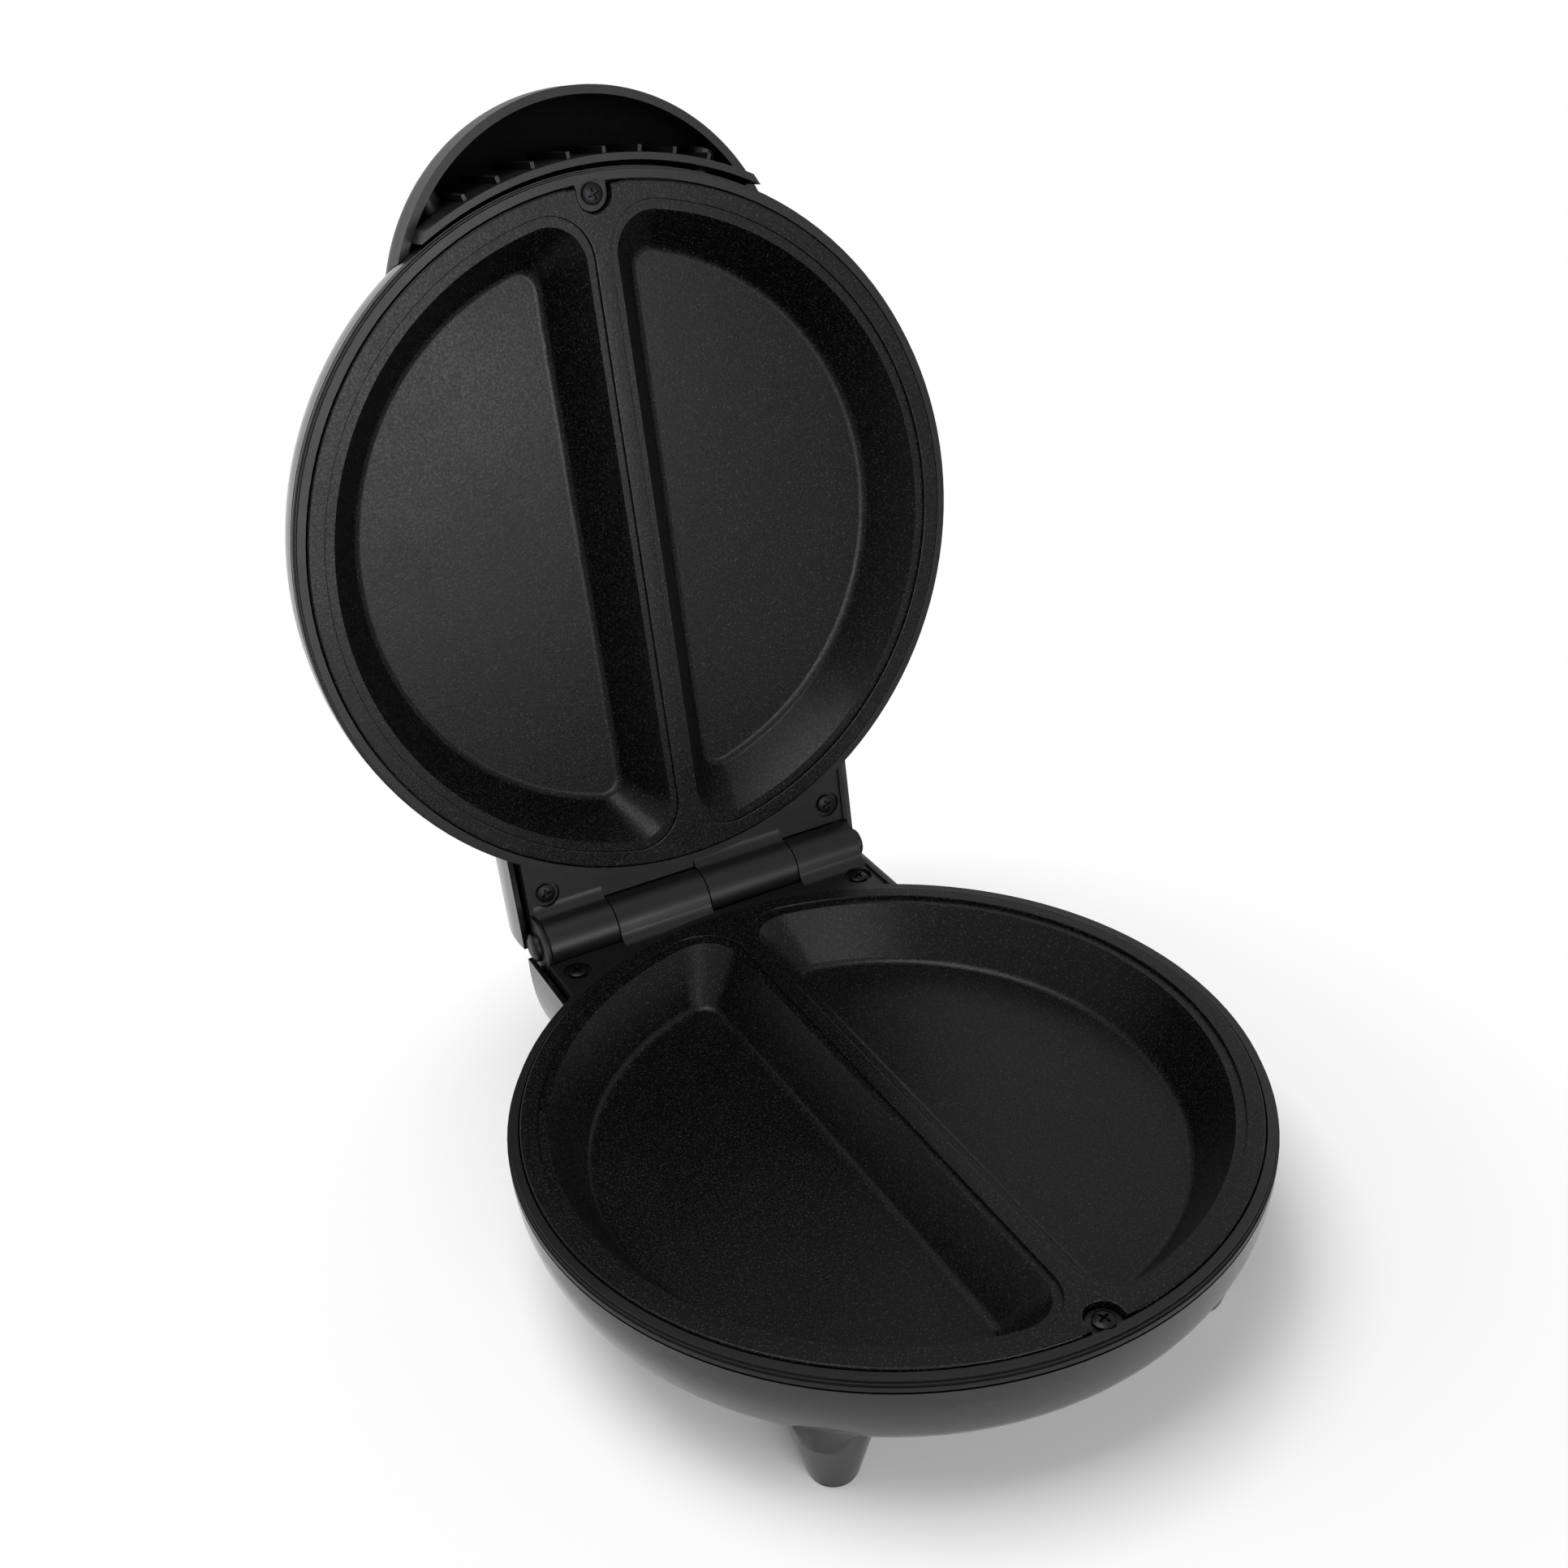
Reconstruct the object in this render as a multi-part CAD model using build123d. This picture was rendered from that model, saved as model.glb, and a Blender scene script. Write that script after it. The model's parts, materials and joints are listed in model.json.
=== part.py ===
from build123d import *
import math
import os

# Electric omelette maker, standing open. Sizes in millimetres.
# Both halves come from the same mouldings. Each is drawn as the base half, with the centre of the
# cooking plate at x 0, y 0 and the top of its flange at z 0. The lid half is the base half turned
# over about the line along Y at the height of the hinge, then swung open.

# ---- how the halves stand ----
flange_height = 48.0
open_angle = 98.67
stop_gap = 0.06
plate_gap = 0.3

# ---- cooking plate ----
plate_radius = 95.0
plate_wall = 2.0
ledge_outer_radius = 90.4
cavity_radius = 87.8
ledge_depth = 1.0
divider_half_width = 2.33
ledge_width = 2.0
cavity_depth = 16.0
cavity_draw_in = 9.3
cavity_corner_radius = 10.5
floor_corner_radius = 6.0
floor_fillet = 3.0
mouth_fillet = 1.0
lip_depth = 6.0
lip_width = 2.0
plate_boss_radius = 3.5

# ---- screws ----
screw_radius = 1.5
screw_head_radius = 3.3
screw_head_height = 1.6
screw_length = 12.0
cross_width = 0.8
cross_depth = 0.9
screw_clearance = 0.25
thread_clearance = 0.05

# ---- front lug and notch ----
front_screw_distance = 92.4
lug_radius = 4.3
lug_top = -2.2
notch_clearance = 0.4
notch_mouth_half_width = 7.5

# ---- trim ring and hinge plate ----
trim_gap = 0.4
trim_radius = 98.4
trim_top = -0.6
trim_step = 0.4
trim_step_height = 0.9
trim_foot = -4.0
seam_depth = 0.3
seam_reach = 1.2
shelf_radius = 90.0
shelf_thickness = 2.0
skirt_clearance = 0.3
hinge_plate_half_width = 53.3
hinge_plate_start = 62.0
hinge_plate_top = -2.0
hinge_plate_thickness = 3.2
side_edge_width = 1.3
side_edge_height = 0.8
counterbore_radius = 4.1
counterbore_depth = 1.2
hinge_screw_x = 47.0
hinge_screw_y = 94.0

# ---- hinge ----
hinge_y = 108.4
knuckle_radius = 7.85
knuckle_cuts = [-52.0, -30.0, 0.0, 30.0, 52.0]
knuckle_gap = 0.4
knuckle_fillet = 4.0
knuckle_clearance = 0.45
knuckle_web = 2.6
pin_radius = 2.0
pin_clearance = 0.05
pin_recess = 1.0

# ---- housings ----
housing_wall = 1.8
bowl_bottom = -38.0
bowl_flat_radius = 58.7
side_exponent = 2.35
curve_steps = 8
cheek_half_width = 56.2
cheek_wall = 1.6
cheek_draw_in = 18.0
cheek_rear = 110.0
rear_round = 14.0
heel_half_width = 47.0
heel_rear = 117.0
rear_start = 10.0
post_radius = 3.8
cord_hole_radius = 4.5
cord_hole_height = -18.5

# ---- legs and foot pads ----
front_leg_x = 53.8
front_leg_y = -63.3
rear_leg_x = 46.0
rear_leg_y = 88.0
leg_foot_radius = 6.5
leg_taper = 0.25
leg_top = -20.0
leg_reach = 93.5
leg_wall = 2.4
leg_sole = 4.0
pad_thickness = 1.4
pad_inset = 0.4
pad_plug_radius = 2.2
pad_plug_length = 3.0
fit_clearance = 0.1

# ---- vents under the base ----
vent_count = 6
vent_pitch = 8.0
vent_width = 3.0
vent_length = 26.0
vent_y = 28.0

# ---- heating element and reflector ----
element_radius = 3.25
element_ring_radius = 52.0
element_open_angle = 18.0
element_bend_radius = 8.0
element_groove_depth = 3.0
element_groove_wall = 2.0
element_pin_radius = 1.5
element_tube_end = -30.4
element_pin_end = -35.0
element_hole_clearance = 0.8
bead_radius = 3.8
bead_length = 1.3
reflector_thickness = 0.6
reflector_floor_radius = 78.0
reflector_waist_radius = 88.0
reflector_waist_height = -16.0
reflector_rim_radius = 93.0
reflector_rim_inner = 89.4
boss_spread = 28.0

# ---- electrical parts ----
thermostat_x = -36.0
thermostat_radius = 9.0
thermostat_height = 9.0
thermostat_hole_clearance = 1.5
blade_length = 8.0
blade_width = 6.3
blade_thickness = 0.8
blade_height = 0.5
strap_thickness = 0.8
strap_width = 10.0
strap_foot = 5.0
fuse_x = 24.0
fuse_radius = 2.0
fuse_length = 12.0
fuse_gap = 0.9
clip_thickness = 0.6
clip_width = 5.0
terminal_y = 88.0
terminal_pitch = 9.0
terminal_count = 3
terminal_depth = 11.0
terminal_height = 12.0
wire_radius = 1.2
wire_level = -29.5
wire_hole_radius = 1.5
wire_bend = 6.0
wire_gap = 0.15
wire_insert = 2.5
pin_wire_level = -33.1

# ---- handle on the lid ----
handle_centre_y = -61.9
handle_radius = 56.5
handle_rim = -9.0
handle_turn = -15.0
handle_crown = -35.5
handle_crown_flat = 22.5
handle_wall = 2.2
handle_seat_gap = 0.1
grip_wall_radius = 99.8
grip_wall = 1.8
rib_count = 8
rib_pitch_angle = 5.6
rib_width = 1.0
rib_height = 1.8
rib_top = -1.5
handle_screw_angle = 22.4
handle_screw_level = -17.0
handle_screw_seat = 91.5
handle_boss_radius = 3.6
handle_boss_length = 14.0

# ---- lamps in the lid ----
lamp_x = 9.0
lamp_y = -40.0
lens_radius = 4.0
lens_rise = 0.5
lens_flange = 1.2
lens_flange_thickness = 1.0
lamp_radius = 2.4
lamp_length = 9.0
holder_thickness = 1.2
holder_level = -31.0
holder_length = 34.0
holder_width = 12.0

# ---- sizes that follow from the ones above ----
hinge_z = plate_gap / 2
trough_radius = knuckle_radius + knuckle_clearance
trim_inner_radius = plate_radius + trim_gap
skirt_radius = trim_radius - housing_wall - skirt_clearance
shelf_top = -lip_depth
shelf_foot = shelf_top - shelf_thickness
hinge_plate_foot = hinge_plate_top - hinge_plate_thickness
hinge_plate_rear = hinge_y - knuckle_radius
cheek_inner = cheek_half_width - cheek_wall
floor_foot = -cavity_depth - plate_wall
element_z = floor_foot - element_radius
reflector_top = element_z - element_radius
reflector_foot = reflector_top - reflector_thickness
bowl_floor = bowl_bottom + housing_wall
pocket_top = hinge_z - trough_radius - housing_wall
leg_foot = pad_thickness - flange_height


def along_x(face, x_from, x_to):
    # Face drawn in (y, z), drawn out along X.
    return Pos(x_from, 0, 0) * extrude(Plane.YZ * face, x_to - x_from)


def along_y(face, y_from, y_to):
    # Face drawn in (x, z), drawn out along Y.
    return Pos(0, y_to, 0) * extrude(Plane.XZ * face, y_to - y_from)


def along_z(face, z_from, z_to):
    # Face drawn in (x, y), drawn out along Z.
    return Pos(0, 0, z_from) * extrude(face, z_to - z_from)


def rod(x, y, z_from, z_to, radius):
    # Upright round bar.
    return along_z(Pos(x, y) * Circle(radius), z_from, z_to)


def block(x_range, y_range, z_range):
    # Plain block between the given limits.
    size = [high - low for low, high in (x_range, y_range, z_range)]
    middle = [(high + low) / 2 for low, high in (x_range, y_range, z_range)]
    return Pos(*middle) * Box(*size)


def hinge_rod(x_from, x_to, radius):
    # Round bar on the hinge axis.
    return along_x(Pos(hinge_y, hinge_z) * Circle(radius), x_from, x_to)


def to_lid(shape):
    # A part of the base half, turned over to the closed lid half.
    return Pos(0, 0, hinge_z) * Rot(0, 180, 0) * Pos(0, 0, -hinge_z) * shape


def opened(shape):
    # A part of the closed lid half, swung open.
    return Pos(0, hinge_y, hinge_z) * Rot(-open_angle, 0, 0) * Pos(0, -hinge_y, -hinge_z) * shape


def rounded_side(rim, top, flat, bottom):
    # Side of a bowl in (distance, height): upright at the rim, level where it meets the flat.
    points = []
    for step in range(curve_steps + 1):
        angle = math.radians(90 * step / curve_steps)
        across = max(math.cos(angle), 0) ** (2 / side_exponent)
        down = math.sin(angle) ** (2 / side_exponent)
        points.append((flat + (rim - flat) * across, top - (top - bottom) * down))
    return Spline(points, tangents=[(0, -1), (-1, 0)])


def bowl_face(rim, top, flat, bottom, head):
    # Half section of a bowl with a straight wall from its curve's top up to head.
    side = rounded_side(rim, top, flat, bottom)
    outline = Line((0, bottom), (0, head)) + Line((0, head), (rim, head)) + Line((rim, head), (rim, top))
    return make_face(outline + side + Line((flat, bottom), (0, bottom)))


def turned(face):
    # Face drawn in (radius, z), turned about the middle of the plate.
    return revolve(Plane.XZ * face, Axis.Z)


# ---- cooking plate ----

def half_moon(outer_radius, side, corner_radius):
    # Half disc on the +X side: an arc closed by a chord at x = side, its two corners rounded.
    window = Pos(side + outer_radius, 0) * Rectangle(2 * outer_radius, 4 * outer_radius)
    moon = Circle(outer_radius) & window
    return fillet(moon.vertices(), corner_radius)


def cavity(grow, depth, corner_grow):
    # Drafted half-moon well under the ledge, made larger all round by grow.
    mouth = half_moon(
        cavity_radius + grow, divider_half_width + ledge_width - grow, cavity_corner_radius + corner_grow
    )
    floor = half_moon(
        cavity_radius - cavity_draw_in + grow,
        divider_half_width + ledge_width + cavity_draw_in - grow,
        floor_corner_radius + corner_grow,
    )
    return loft([Pos(0, 0, -depth) * floor, Pos(0, 0, -ledge_depth) * mouth], ruled=True)


def element_groove():
    # Two low walls under a cavity floor that hold the heating element between them.
    reach = element_radius + fit_clearance
    outer = Circle(element_ring_radius + reach + element_groove_wall)
    walls = along_z(outer - Circle(element_ring_radius - reach - element_groove_wall),
                    floor_foot - element_groove_depth, floor_foot + plate_wall / 2)
    walls -= along_z(Circle(element_ring_radius + reach) - Circle(element_ring_radius - reach),
                     floor_foot - element_groove_depth, floor_foot)
    under_floor = half_moon(
        cavity_radius - cavity_draw_in,
        divider_half_width + ledge_width + cavity_draw_in,
        floor_corner_radius,
    )
    return walls & along_z(under_floor, floor_foot - element_groove_depth, floor_foot + plate_wall)


def notch_outline():
    # U notch in the front of the flange, opening outwards with rounded lead-ins.
    radius = lug_radius + notch_clearance
    front = -plate_radius - 1
    slot = Pos(0, -front_screw_distance) * Circle(radius)
    slot += Pos(0, (front - front_screw_distance) / 2) * Rectangle(2 * radius, -front - front_screw_distance)
    mouth = Pos(0, front) * Rectangle(2 * notch_mouth_half_width, 2 * (plate_radius + front + 2.6))
    return slot + mouth


def cooking_plate():
    body = along_z(Circle(plate_radius), -ledge_depth - plate_wall, 0)
    body += along_z(Circle(plate_radius) - Circle(plate_radius - lip_width), -lip_depth, -ledge_depth)
    well = cavity(0, cavity_depth, 0)
    well = fillet(well.faces().sort_by(Axis.Z)[0].edges(), floor_fillet)
    ledge = along_z(
        half_moon(ledge_outer_radius, divider_half_width, cavity_corner_radius + ledge_width),
        -ledge_depth, ledge_depth,
    )
    pan = cavity(plate_wall, cavity_depth + plate_wall, plate_wall) + element_groove()
    body += pan + mirror(pan, Plane.YZ)
    body -= well + mirror(well, Plane.YZ) + ledge + mirror(ledge, Plane.YZ)
    for x, y in boss_places():
        body += rod(x, y, reflector_top, floor_foot + plate_wall / 2, plate_boss_radius)
        body -= rod(x, y, reflector_top, floor_foot + plate_wall / 4, screw_radius + thread_clearance)
    return body - along_z(notch_outline(), -lip_depth - 1, 1)


def boss_places():
    return [(x, y) for x in (-boss_spread, boss_spread) for y in (-boss_spread, boss_spread)]


# ---- screws ----

def screw(length):
    # Cross-head screw, its head standing on z = 0 and its shank hanging below.
    body = rod(0, 0, -length, 0, screw_radius) + rod(0, 0, 0, screw_head_height, screw_head_radius)
    body = chamfer(body.faces().sort_by(Axis.Z)[-1].edges(), screw_head_height / 3)
    arm = 1.3 * screw_head_radius
    cross = Rectangle(arm, cross_width) + Rectangle(cross_width, arm)
    return body - along_z(cross, screw_head_height - cross_depth, screw_head_height + 1)


# ---- trim ring, hinge plate and knuckles ----

def trim_section():
    # Half section of the ring: stepped outer wall, skirt inside the housing's rim, shelf for the plate's lip.
    edge = trim_radius - 2 * trim_step
    corners = [
        (trim_inner_radius, trim_top),
        (edge, trim_top),
        (edge, trim_top - trim_step_height),
        (edge + trim_step, trim_top - trim_step_height),
        (edge + trim_step, trim_top - 2 * trim_step_height),
        (trim_radius, trim_top - 2 * trim_step_height),
        (trim_radius, trim_foot + seam_depth),
        (trim_radius - seam_reach, trim_foot + seam_depth),
        (trim_radius - seam_reach, trim_foot),
        (skirt_radius, trim_foot),
        (skirt_radius, shelf_foot),
        (shelf_radius, shelf_foot),
        (shelf_radius, shelf_top),
        (trim_inner_radius, shelf_top),
    ]
    return make_face(Polyline(*corners, close=True))


def knuckle_spans(first):
    # Every other knuckle along the pin, starting with the one numbered first.
    spans = []
    for index in range(first, len(knuckle_cuts) - 1, 2):
        start = knuckle_cuts[index]
        end = knuckle_cuts[index + 1]
        if index > 0:
            start += knuckle_gap / 2
        if index < len(knuckle_cuts) - 2:
            end -= knuckle_gap / 2
        spans.append((start, end))
    return spans


def knuckle_section():
    # Knuckle with the web that joins it to the hinge plate, and the fillet in the corner on top.
    web_top = hinge_plate_top
    web_foot = hinge_z - knuckle_radius
    section = Pos(hinge_y, hinge_z) * Circle(knuckle_radius)
    for reach, foot in ((2 * knuckle_fillet, hinge_plate_foot), (knuckle_web, web_foot)):
        start = hinge_plate_rear - reach
        section += Pos((start + hinge_y) / 2, (web_top + foot) / 2) * Rectangle(hinge_y - start, web_top - foot)
    crease = hinge_y - math.sqrt(knuckle_radius ** 2 - (hinge_z - web_top) ** 2)
    corner = section.vertices().sort_by_distance((crease, web_top, 0))[0]
    return fillet(corner, knuckle_fillet)


def hinge_plate():
    # Plate behind the ring, with raised side edges and this half's two knuckles.
    length = hinge_plate_rear - hinge_plate_start
    middle_y = hinge_plate_start + length / 2
    body = along_z(Pos(0, middle_y) * Rectangle(2 * hinge_plate_half_width, length),
                   hinge_plate_foot, hinge_plate_top)
    for side in (-1, 1):
        edge_x = side * (hinge_plate_half_width - side_edge_width / 2)
        body += along_z(Pos(edge_x, middle_y) * Rectangle(side_edge_width, length),
                        hinge_plate_foot, hinge_plate_top + side_edge_height)
    for start, end in knuckle_spans(0):
        body -= hinge_rod(start - knuckle_gap, end + knuckle_gap, trough_radius)
    for start, end in knuckle_spans(1):
        body += along_x(knuckle_section(), start, end)
    inside = Circle(trim_radius - seam_reach - side_edge_width / 2)
    return body - along_z(inside, hinge_plate_foot - 1, 0)


def trim_ring():
    body = turned(trim_section()) + hinge_plate()
    lug = Pos(0, -front_screw_distance) * Circle(lug_radius)
    lug += Pos(0, -(front_screw_distance + trim_inner_radius) / 2) * Rectangle(
        2 * lug_radius, trim_inner_radius - front_screw_distance)
    body += along_z(lug & Circle(skirt_radius), shelf_foot, lug_top)
    hole = screw_radius + screw_clearance
    body -= rod(0, -front_screw_distance, shelf_foot - 1, lug_top + 1, hole)
    body -= rod(0, -front_screw_distance, lug_top, 1, screw_head_radius + screw_clearance)
    for side in (-1, 1):
        x = side * hinge_screw_x
        seat = hinge_plate_top - counterbore_depth
        body -= rod(x, hinge_screw_y, hinge_plate_foot - 1, hinge_plate_top + 1, hole)
        body -= rod(x, hinge_screw_y, seat, hinge_plate_top + 1, counterbore_radius)
    body -= hinge_rod(knuckle_cuts[0] - 1, knuckle_cuts[-1] + 1, pin_radius + pin_clearance)
    return body


def front_screw():
    return Pos(0, -front_screw_distance, lug_top) * screw(screw_length)


def hinge_screws():
    seat = hinge_plate_top - counterbore_depth
    return [Pos(side * hinge_screw_x, hinge_screw_y, seat) * screw(screw_length) for side in (-1, 1)]


def hinge_pin():
    return hinge_rod(knuckle_cuts[0] + pin_recess, knuckle_cuts[-1] - pin_recess, pin_radius)


# ---- housings ----

def bowl(inset, head):
    # Round bowl of the housing, drawn in by inset all round, its wall carried up to head.
    face = bowl_face(trim_radius - inset, trim_foot, bowl_flat_radius, bowl_bottom + inset, head)
    return turned(face)


def rear_cross_section(inset):
    # The rear box seen from behind: upright cheeks that round in to the level bottom.
    half_width = cheek_half_width - inset
    half = bowl_face(half_width, trim_foot, cheek_half_width - cheek_draw_in, bowl_bottom + inset, 0)
    return half + mirror(half, Plane.YZ)


def rear_side_section(rear, inset):
    # The rear box seen from the side: upright back, rounded under.
    width = rear - inset - rear_start
    height = -bowl_bottom - inset
    outline = Pos(rear_start + width / 2, -height / 2) * Rectangle(width, height)
    corner = outline.vertices().sort_by_distance((rear, bowl_bottom, 0))[0]
    return fillet(corner, rear_round - inset)


def rear_box(rear, half_width, inset):
    body = along_x(rear_side_section(rear, inset), -half_width, half_width)
    return body & along_y(rear_cross_section(inset), rear_start, rear)


def stop_cut():
    # Everything above the sloped face that meets the other half when the lid stands open.
    slope = math.radians(open_angle / 2)
    reach = 3 * knuckle_radius
    across = stop_gap / 2 / math.cos(slope)
    start = (hinge_y, hinge_z - across)
    end = (hinge_y + reach * math.cos(slope), hinge_z - across - reach * math.sin(slope))
    outline = Polyline(start, end, (hinge_y + reach, reach), (hinge_y, reach), close=True)
    return along_x(make_face(outline), -cheek_half_width - 1, cheek_half_width + 1)


def shell_space():
    # All that is hollow in a housing: the bowl, the rear box in front of the hinge and the pocket
    # under the hinge, with the trough in which the knuckles turn.
    wall_y = hinge_plate_rear - knuckle_gap - housing_wall
    space = bowl(housing_wall, 1)
    front = rear_box(heel_rear, cheek_half_width, housing_wall)
    space += front & block((-cheek_half_width, cheek_half_width), (rear_start, wall_y), (bowl_bottom, 1))
    pocket = block((-heel_half_width + housing_wall, heel_half_width - housing_wall),
                   (rear_start, heel_rear), (bowl_bottom, pocket_top))
    space += front & pocket
    space += block((-cheek_inner, cheek_inner), (rear_start, wall_y), (hinge_plate_foot, 1))
    space += block((-cheek_inner, cheek_inner), (wall_y, hinge_y), (hinge_z - trough_radius, 1))
    return space + hinge_rod(-cheek_inner, cheek_inner, trough_radius)


def posts():
    # Screw posts under the front lug and under the two hinge screws.
    body = rod(0, -front_screw_distance, bowl_bottom, shelf_foot, post_radius)
    for side in (-1, 1):
        body += rod(side * hinge_screw_x, hinge_screw_y, bowl_bottom, hinge_plate_foot, post_radius)
    return body


def post_holes():
    hole = screw_radius + thread_clearance
    body = rod(0, -front_screw_distance, lug_top - screw_length - 1, 0, hole)
    for side in (-1, 1):
        seat = hinge_plate_top - counterbore_depth
        body += rod(side * hinge_screw_x, hinge_screw_y, seat - screw_length - 1, 0, hole)
    return body


def housing_shape():
    # Outer shape of a housing before it is hollowed.
    body = bowl(0, 1) + rear_box(cheek_rear, cheek_half_width, 0)
    body += rear_box(heel_rear, heel_half_width, 0)
    body -= block((-trim_radius, trim_radius), (-trim_radius, heel_rear), (trim_foot, 1))
    return body - stop_cut()


def hollowed(shape):
    # Housing with its inside taken out, the posts put in and the seam groove cut round the rim.
    groove = along_z(Circle(trim_radius + 1) - Circle(trim_radius - seam_reach),
                     trim_foot - seam_depth, trim_foot)
    groove -= block((-cheek_half_width - 1, cheek_half_width + 1), (rear_start, heel_rear), (bowl_bottom, 0))
    body = shape - shell_space() - groove
    body += posts() & bowl_and_box()
    return body - post_holes()


def bowl_and_box():
    # Space that the posts stay within: half a wall inside the outer faces.
    inset = housing_wall / 2
    return bowl(inset, 1) + rear_box(cheek_rear, cheek_half_width, inset)


def leg_places():
    front = [(side * front_leg_x, front_leg_y) for side in (-1, 1)]
    rear = [(side * rear_leg_x, rear_leg_y) for side in (-1, 1)]
    return front + rear


def leg(x, y, inset, foot):
    # Tapered leg drawn in by inset, from foot up into the housing.
    height = leg_top - foot
    narrow = leg_foot_radius + (foot - leg_foot) * leg_taper - inset
    body = Cone(narrow, narrow + height * leg_taper, height)
    return Pos(x, y, foot + height / 2) * body


def base_housing():
    legs = Part()
    cores = Part()
    for x, y in leg_places():
        legs += leg(x, y, 0, leg_foot)
        cores += leg(x, y, leg_wall, leg_foot + leg_sole)
    limit = along_z(Circle(leg_reach), leg_foot, 0)
    limit += block((-cheek_half_width, cheek_half_width), (rear_start, cheek_rear), (leg_foot, 0))
    under = block((-trim_radius, trim_radius), (-trim_radius, heel_rear), (leg_foot, bowl_bottom + cheek_draw_in))
    body = housing_shape() + (legs & limit & under)
    body = hollowed(body) - (cores & bowl_core_space())
    for x, y in leg_places():
        body -= rod(x, y, leg_foot - 1, leg_foot + leg_sole + 1, pad_plug_radius)
    body -= Pos(0, heel_rear, cord_hole_height) * Rot(90, 0, 0) * Cylinder(cord_hole_radius, 4 * housing_wall)
    return body - vents()


def bowl_core_space():
    # Space that the cores of the legs stay within: a wall inside the limit of the legs.
    inside = along_z(Circle(leg_reach - leg_wall), leg_foot, 0)
    return inside + block((-cheek_half_width + leg_wall, cheek_half_width - leg_wall),
                          (rear_start, cheek_rear - leg_wall), (leg_foot, 0))


def vents():
    body = Part()
    for index in range(vent_count):
        x = (index - (vent_count - 1) / 2) * vent_pitch
        slot = SlotOverall(vent_length, vent_width, rotation=90)
        body += along_z(Pos(x, vent_y) * slot, bowl_bottom - 1, bowl_floor + 1)
    return body


def foot_pad(x, y):
    disc = rod(x, y, -flange_height, leg_foot, leg_foot_radius - pad_inset)
    disc = chamfer(disc.faces().sort_by(Axis.Z)[0].edges(), pad_inset)
    return disc + rod(x, y, leg_foot, leg_foot + pad_plug_length, pad_plug_radius - fit_clearance)


def lid_housing():
    body = hollowed(housing_shape())
    for side in (-1, 1):
        seat = handle_screw_line(side) * Pos(0, 0, post_radius) * Cylinder(post_radius, 2 * post_radius)
        body += seat & bowl(housing_wall / 2, 1)
        body -= rod(side * lamp_x, lamp_y, bowl_bottom - 1, bowl_floor + 1, lens_radius)
        body -= handle_screw_line(side) * Cylinder(screw_radius + screw_clearance, 2 * screw_length)
    return body


# ---- heating element and reflector ----

def element_end(side):
    # Where one turned-down end of the element stands, in (x, y).
    turn = math.radians(element_open_angle)
    x = side * (element_ring_radius * math.sin(turn) - element_bend_radius * math.cos(turn))
    y = element_ring_radius * math.cos(turn) + element_bend_radius * math.sin(turn)
    return x, y


def element_bend(side):
    # Centre line of the bend at one end of the element, from level to upright.
    angle = math.radians(90 - side * element_open_angle)
    start = Vector(element_ring_radius * math.cos(angle), element_ring_radius * math.sin(angle), element_z)
    run = Vector(-side * math.sin(angle), side * math.cos(angle), 0)
    end = Vector(*element_end(side), element_z - element_bend_radius)
    return TangentArc(start, end, tangent=run)


def element_path():
    # Open ring under the cavity floors, both ends turned down.
    path = CenterArc((0, 0, element_z), element_ring_radius, 90 + element_open_angle, 360 - 2 * element_open_angle)
    for side in (-1, 1):
        bend = element_bend(side)
        path += bend
        path += Line(bend @ 1, Vector(*element_end(side), element_tube_end))
    return Wire(path.edges())


def swept_round(path, radius):
    return sweep(Plane(path @ 0, z_dir=path % 0) * Circle(radius), path)


def heating_element():
    body = swept_round(element_path(), element_radius)
    for side in (-1, 1):
        x, y = element_end(side)
        body += rod(x, y, element_pin_end, element_tube_end + 1, element_pin_radius)
    return body


def element_beads():
    # Ceramic beads that close the ends of the element's tube round its pins.
    beads = []
    for side in (-1, 1):
        x, y = element_end(side)
        bead = rod(x, y, element_tube_end - bead_length, element_tube_end, bead_radius)
        beads.append(bead - rod(x, y, element_pin_end, 0, element_pin_radius + fit_clearance))
    return beads


def heat_reflector():
    # Dish of sheet metal under the element, its rim pressed up against the shelf of the trim ring.
    upper = [
        (0, reflector_top),
        (reflector_floor_radius, reflector_top),
        (reflector_waist_radius, reflector_waist_height),
        (reflector_rim_inner, shelf_foot - reflector_thickness),
    ]
    lower = [(radius + reflector_thickness, height) for radius, height in reversed(upper[2:])]
    section = upper[:3] + [
        (reflector_rim_inner, shelf_foot),
        (reflector_rim_radius, shelf_foot),
        (reflector_rim_radius, shelf_foot - reflector_thickness),
    ] + lower + [(reflector_floor_radius, reflector_foot), (0, reflector_foot)]
    body = turned(make_face(Polyline(*section, close=True)))
    for x, y in boss_places():
        body -= rod(x, y, reflector_foot - 1, reflector_top + 1, screw_radius + screw_clearance)
    for side in (-1, 1):
        body -= swept_round(element_bend(side), element_radius + element_hole_clearance)
    body -= rod(thermostat_x, 0, reflector_foot - 1, reflector_top + 1,
                thermostat_radius + thermostat_hole_clearance)
    return body - rod(0, -front_screw_distance, reflector_foot, 0, post_radius + 1)


def reflector_screws():
    return [Pos(x, y, reflector_foot) * Rot(180, 0, 0) * screw(screw_length / 2) for x, y in boss_places()]


# ---- thermostat, fuse, terminals and wires ----

def thermostat():
    top = floor_foot
    body = rod(thermostat_x, 0, top - thermostat_height, top, thermostat_radius)
    level = top - thermostat_height + blade_height
    reach = thermostat_radius + blade_length
    blade = block((thermostat_x - blade_width / 2, thermostat_x + blade_width / 2), (-reach, reach),
                  (level - blade_thickness / 2, level + blade_thickness / 2))
    return body + blade


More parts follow.
